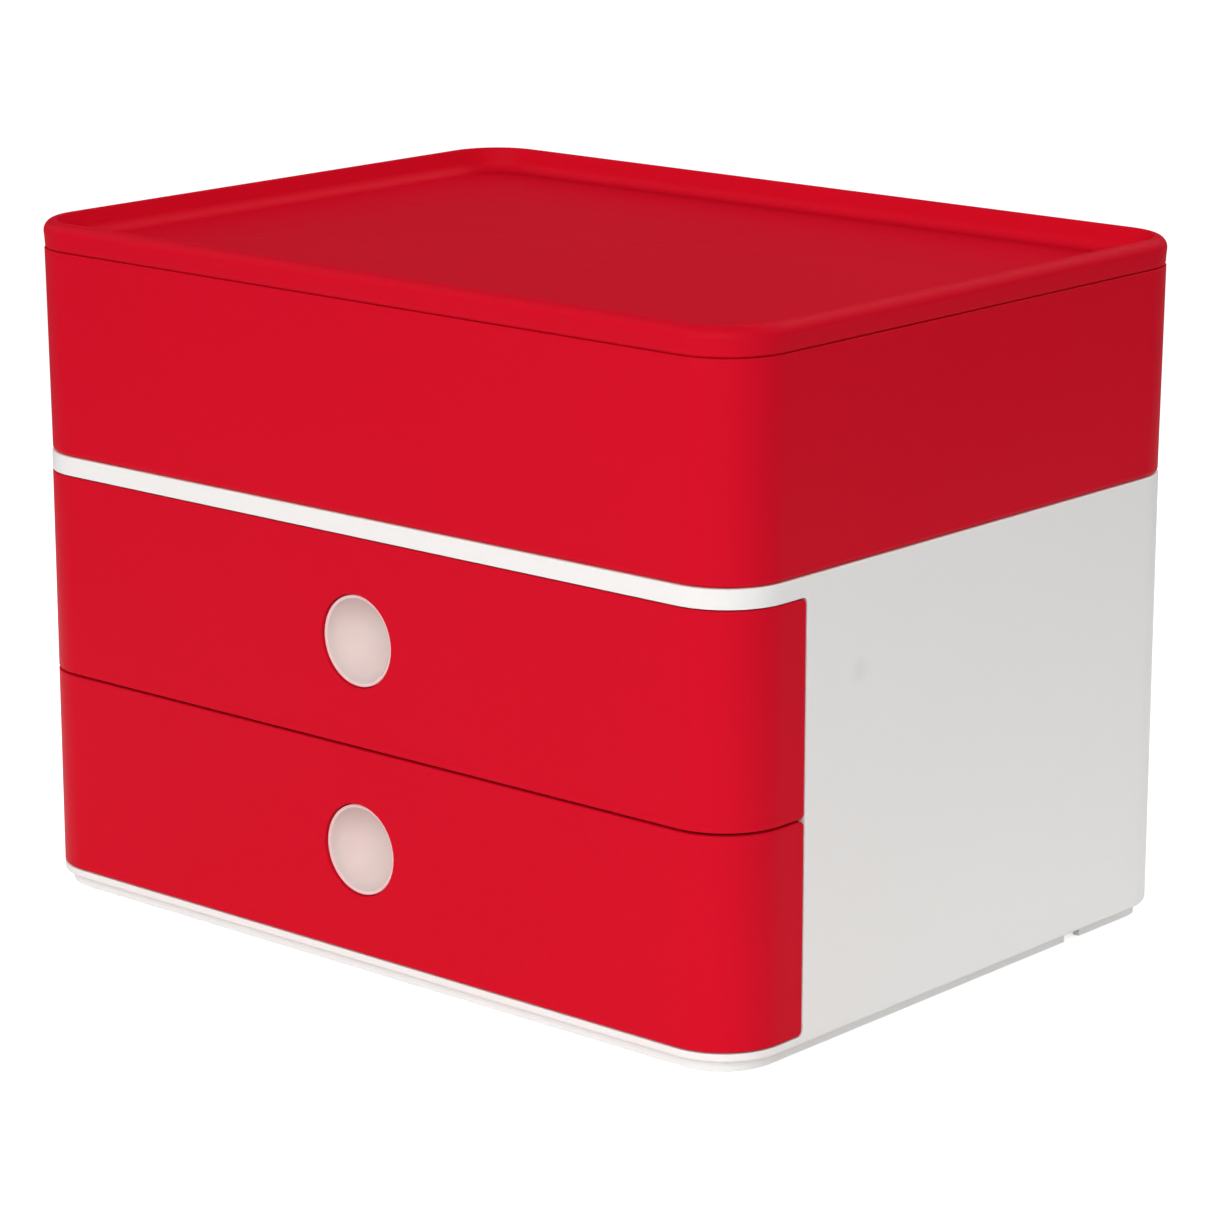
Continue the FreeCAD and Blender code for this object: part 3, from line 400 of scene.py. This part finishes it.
# A grid of low rings half sunk in a floor, and one gate nub in the middle where asked
def buildPinMarkTree():
    tree = bpy.data.node_groups.new("pinMarkField", "GeometryNodeTree")
    for label, kind in (("Geometry", "NodeSocketGeometry"), ("Centre", "NodeSocketVector"),
                        ("Spacing X", "NodeSocketFloat"), ("Spacing Y", "NodeSocketFloat"),
                        ("Count X", "NodeSocketInt"), ("Count Y", "NodeSocketInt"),
                        ("Ring Radius", "NodeSocketFloat"), ("Ridge", "NodeSocketFloat"),
                        ("Gate", "NodeSocketBool"), ("Finish", "NodeSocketMaterial")):
        tree.interface.new_socket(label, in_out="INPUT", socket_type=kind)
    tree.interface.new_socket("Geometry", in_out="OUTPUT", socket_type="NodeSocketGeometry")
    given = tree.nodes.new("NodeGroupInput")
    result = tree.nodes.new("NodeGroupOutput")
    grid = tree.nodes.new("GeometryNodeMeshGrid")
    for axis in "XY":
        gaps = calculate(tree, "SUBTRACT", given.outputs[f"Count {axis}"], 1)
        span = calculate(tree, "MULTIPLY", gaps, given.outputs[f"Spacing {axis}"])
        link(tree, span, grid.inputs[f"Size {axis}"])
        link(tree, given.outputs[f"Count {axis}"], grid.inputs[f"Vertices {axis}"])
    circle = addNode(tree, "GeometryNodeCurvePrimitiveCircle", mode="RADIUS")
    circle.inputs["Resolution"].default_value = pinMarks["ringSteps"]
    link(tree, given.outputs["Ring Radius"], circle.inputs["Radius"])
    section = addNode(tree, "GeometryNodeCurvePrimitiveCircle", mode="RADIUS")
    section.inputs["Resolution"].default_value = pinMarks["ridgeSteps"]
    link(tree, given.outputs["Ridge"], section.inputs["Radius"])
    ring = tree.nodes.new("GeometryNodeCurveToMesh")
    link(tree, circle.outputs["Curve"], ring.inputs["Curve"])
    link(tree, section.outputs["Curve"], ring.inputs["Profile Curve"])
    rings = tree.nodes.new("GeometryNodeInstanceOnPoints")
    link(tree, grid.outputs["Mesh"], rings.inputs["Points"])
    link(tree, ring.outputs["Mesh"], rings.inputs["Instance"])
    nub = tree.nodes.new("GeometryNodeMeshCylinder")
    nub.inputs["Vertices"].default_value = pinMarks["ringSteps"]
    nub.inputs["Side Segments"].default_value = pinMarks["gateSideSteps"]
    nub.inputs["Radius"].default_value = pinMarks["gateRadius"]
    nub.inputs["Depth"].default_value = pinMarks["gateHeight"] * 2
    gate = addNode(tree, "GeometryNodeSwitch", input_type="GEOMETRY")
    link(tree, given.outputs["Gate"], gate.inputs["Switch"])
    link(tree, nub.outputs["Mesh"], gate.inputs["True"])
    both = tree.nodes.new("GeometryNodeJoinGeometry")
    link(tree, rings.outputs["Instances"], both.inputs["Geometry"])
    link(tree, gate.outputs["Output"], both.inputs["Geometry"])
    shift = tree.nodes.new("GeometryNodeTransform")
    link(tree, both.outputs["Geometry"], shift.inputs["Geometry"])
    link(tree, given.outputs["Centre"], shift.inputs["Translation"])
    real = tree.nodes.new("GeometryNodeRealizeInstances")
    link(tree, shift.outputs["Geometry"], real.inputs["Geometry"])
    smooth = addNode(tree, "GeometryNodeSetShadeSmooth", domain="FACE")
    link(tree, real.outputs["Geometry"], smooth.inputs["Geometry"])
    painted = tree.nodes.new("GeometryNodeSetMaterial")
    link(tree, smooth.outputs["Geometry"], painted.inputs["Geometry"])
    link(tree, given.outputs["Finish"], painted.inputs["Material"])
    link(tree, painted.outputs["Geometry"], result.inputs["Geometry"])
    return tree


# Runs a node tree once and keeps its result as a plain mesh
def bakeTree(name, tree, values):
    carrier = bpy.data.objects.new(name + "Carrier", bpy.data.meshes.new(name + "Carrier"))
    studioScene.collection.objects.link(carrier)
    field = carrier.modifiers.new(name, "NODES")
    field.node_group = tree
    for label, value in values.items():
        field[socketId(tree, label)] = value
    evaluated = carrier.evaluated_get(bpy.context.evaluated_depsgraph_get())
    mesh = bpy.data.meshes.new_from_object(evaluated)
    carrier.modifiers.remove(field)
    bpy.data.objects.remove(carrier)
    piece = bpy.data.objects.new(name, mesh)
    studioScene.collection.objects.link(piece)
    return piece


pinMarkTree = buildPinMarkTree()
for fieldName, field in pinFields.items():
    white = field["body"] == "housing"
    levelNode, corner = field["from"]
    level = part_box(levelNode)[corner][2] + field["rise"]
    marks = bakeTree(fieldName, pinMarkTree, {
        "Centre": (*field["centre"], level),
        "Spacing X": field["spacing"][0], "Spacing Y": field["spacing"][1],
        "Count X": field["count"][0], "Count Y": field["count"][1],
        "Ring Radius": pinMarks["ringRadius"], "Ridge": pinMarks["ridge"],
        "Gate": field.get("gate", False),
        "Finish": finishes["whitePlastic" if white else "redPlastic"],
    })
    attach(marks, field["body"])
print("pin marks made:", len(pinFields))


# Studio

floorFinish = {
    "radius": 6.0,
    "rimSteps": 96,
    "below": 0.2 * mm,
    "nearColour": (0.88, 0.88, 0.88, 1),
    "farColour": (0.12, 0.12, 0.12, 1),
    "colourRange": (0.35, 0.80),
    "nearGlow": 0.72,
    "farGlow": 1.0,
    "glowRange": (0.30, 0.70),
    "mirroredGlow": 0.10,
}


# Paper that throws light back only near the object. Farther off its glow rises towards the backdrop,
# so it still looks white. From below it is see-through
def addFloor():
    mesh = bpy.data.meshes.new("floor")
    rim = []
    for i in range(floorFinish["rimSteps"]):
        angle = i * math.tau / floorFinish["rimSteps"]
        rim.append((math.cos(angle) * floorFinish["radius"], math.sin(angle) * floorFinish["radius"],
                    -floorFinish["below"]))
    mesh.from_pydata(rim, [], [list(range(len(rim)))])
    floor = bpy.data.objects.new("floor", mesh)
    studioScene.collection.objects.link(floor)
    material = bpy.data.materials.new("floorPaper")
    material.use_nodes = True
    tree = material.node_tree
    tree.nodes.clear()
    paper = addNode(tree, "ShaderNodeBsdfDiffuse")
    glow = addNode(tree, "ShaderNodeEmission")
    rays = addNode(tree, "ShaderNodeLightPath")
    mirrored = calculate(tree, "MAXIMUM", rays.outputs["Is Glossy Ray"],
                         rays.outputs["Is Transmission Ray"])
    mirrored = calculate(tree, "MULTIPLY", mirrored, floorFinish["mirroredGlow"])
    reach = addNode(tree, "ShaderNodeVectorMath", operation="LENGTH")
    link(tree, addNode(tree, "ShaderNodeTexCoord").outputs["Object"], reach.inputs[0])
    rise = addRamp(tree, floorFinish["glowRange"], (floorFinish["nearGlow"], floorFinish["farGlow"]))
    link(tree, reach.outputs["Value"], rise.inputs["Value"])
    fade = addRamp(tree, floorFinish["colourRange"])
    link(tree, reach.outputs["Value"], fade.inputs["Value"])
    shade = addNode(tree, "ShaderNodeMix", data_type="RGBA")
    link(tree, fade.outputs["Result"], shade.inputs["Factor"])
    shade.inputs["A"].default_value = floorFinish["nearColour"]
    shade.inputs["B"].default_value = floorFinish["farColour"]
    link(tree, shade.outputs["Result"], paper.inputs["Color"])
    seen = calculate(tree, "MULTIPLY", rays.outputs["Is Camera Ray"], rise.outputs["Result"])
    link(tree, calculate(tree, "MAXIMUM", seen, mirrored), glow.inputs["Strength"])
    both = addNode(tree, "ShaderNodeAddShader")
    link(tree, paper.outputs["BSDF"], both.inputs[0])
    link(tree, glow.outputs["Emission"], both.inputs[1])
    sided = addNode(tree, "ShaderNodeMixShader")
    fromBelow = calculate(tree, "MULTIPLY", rays.outputs["Is Camera Ray"],
                          addNode(tree, "ShaderNodeNewGeometry").outputs["Backfacing"])
    link(tree, fromBelow, sided.inputs["Fac"])
    link(tree, both.outputs["Shader"], sided.inputs[1])
    link(tree, addNode(tree, "ShaderNodeBsdfTransparent").outputs["BSDF"], sided.inputs[2])
    output = addNode(tree, "ShaderNodeOutputMaterial")
    link(tree, sided.outputs["Shader"], output.inputs["Surface"])
    mesh.materials.append(material)


room = {
    "wallLevel": 0.064,
    "mirroredLevel": 0.09,
    "backgroundLevel": 1.0,
}


# An evenly dim room. The camera sees it as a white backdrop, and gloss sees it a little brighter than
# it lights
def addRoom():
    world = bpy.data.worlds.new("studioRoom")
    studioScene.world = world
    world.use_nodes = True
    tree = world.node_tree
    tree.nodes.clear()
    rays = addNode(tree, "ShaderNodeLightPath")
    mirrored = calculate(tree, "MAXIMUM", rays.outputs["Is Glossy Ray"],
                         rays.outputs["Is Transmission Ray"])
    level = calculate(tree, "MAXIMUM", calculate(tree, "MULTIPLY", mirrored, room["mirroredLevel"]),
                      room["wallLevel"])
    seen = calculate(tree, "MULTIPLY", rays.outputs["Is Camera Ray"], room["backgroundLevel"])
    background = addNode(tree, "ShaderNodeBackground")
    link(tree, calculate(tree, "MAXIMUM", seen, level), background.inputs["Strength"])
    output = addNode(tree, "ShaderNodeOutputWorld")
    link(tree, background.outputs["Background"], output.inputs["Surface"])


# A wide, even light from all round, strongest from behind and from the front right. Azimuth 0 is straight
# in front of the drawers and 90 is to the right, elevation is above the table
softboxes = {
    "lowSoftbox": {"azimuth": 10, "elevation": 8, "level": 0.210},
    "frontLeftSoftbox": {"azimuth": -10, "elevation": 28, "level": 0.151},
    "frontSoftbox": {"azimuth": 10, "elevation": 28, "level": 0.145},
    "frontRightSoftbox": {"azimuth": 30, "elevation": 28, "level": 0.264},
    "rightSoftbox": {"azimuth": 55, "elevation": 28, "level": 0.251},
    "leftSoftbox": {"azimuth": -75, "elevation": 28, "level": 0.296},
    "rearSoftbox": {"azimuth": 180, "elevation": 35, "level": 0.487},
    "rearRightSoftbox": {"azimuth": 140, "elevation": 35, "level": 0.235},
}
softboxSize = {
    "distance": 1.8,
    "side": 1.3,
}
litPoint = Vector((0, 0, 0.096))


# A level of 1 renders a white surface that faces the lamp as white
def addSoftbox(name, facts):
    lamp = bpy.data.lights.new(name, "AREA")
    lamp.shape = "SQUARE"
    lamp.size = softboxSize["side"]
    lamp.energy = facts["level"] * (math.pi * softboxSize["distance"]) ** 2
    softbox = bpy.data.objects.new(name, lamp)
    studioScene.collection.objects.link(softbox)
    azimuth, elevation = math.radians(facts["azimuth"]), math.radians(facts["elevation"])
    towards = Vector((math.sin(azimuth) * math.cos(elevation), -math.cos(azimuth) * math.cos(elevation),
                      math.sin(elevation)))
    softbox.location = litPoint + towards * softboxSize["distance"]
    softbox.rotation_euler = towards.to_track_quat("Z", "Y").to_euler()
    softbox.visible_camera = False
    softbox.visible_glossy = False


addFloor()
addRoom()
for softboxName, softboxFacts in softboxes.items():
    addSoftbox(softboxName, softboxFacts)
print("studio set")


# Camera, at the photograph's viewing angle

cameraFacts = {
    "position": (0.78164, -0.88649, 0.38507),
    "aim": (0.0142, -0.0130, 0.0884),
    "lens": 129.03,
    "sensorWidth": 36.0,
    "farClip": 40.0,
}


def addCamera():
    lens = bpy.data.cameras.new("camera")
    lens.lens = cameraFacts["lens"]
    lens.sensor_width = cameraFacts["sensorWidth"]
    lens.clip_end = cameraFacts["farClip"]
    camera = bpy.data.objects.new("camera", lens)
    studioScene.collection.objects.link(camera)
    camera.location = cameraFacts["position"]
    line = Vector(cameraFacts["aim"]) - Vector(cameraFacts["position"])
    camera.rotation_euler = line.to_track_quat("-Z", "Y").to_euler()
    studioScene.camera = camera


addCamera()
studioScene.view_settings.view_transform = "Standard"
print("camera set")
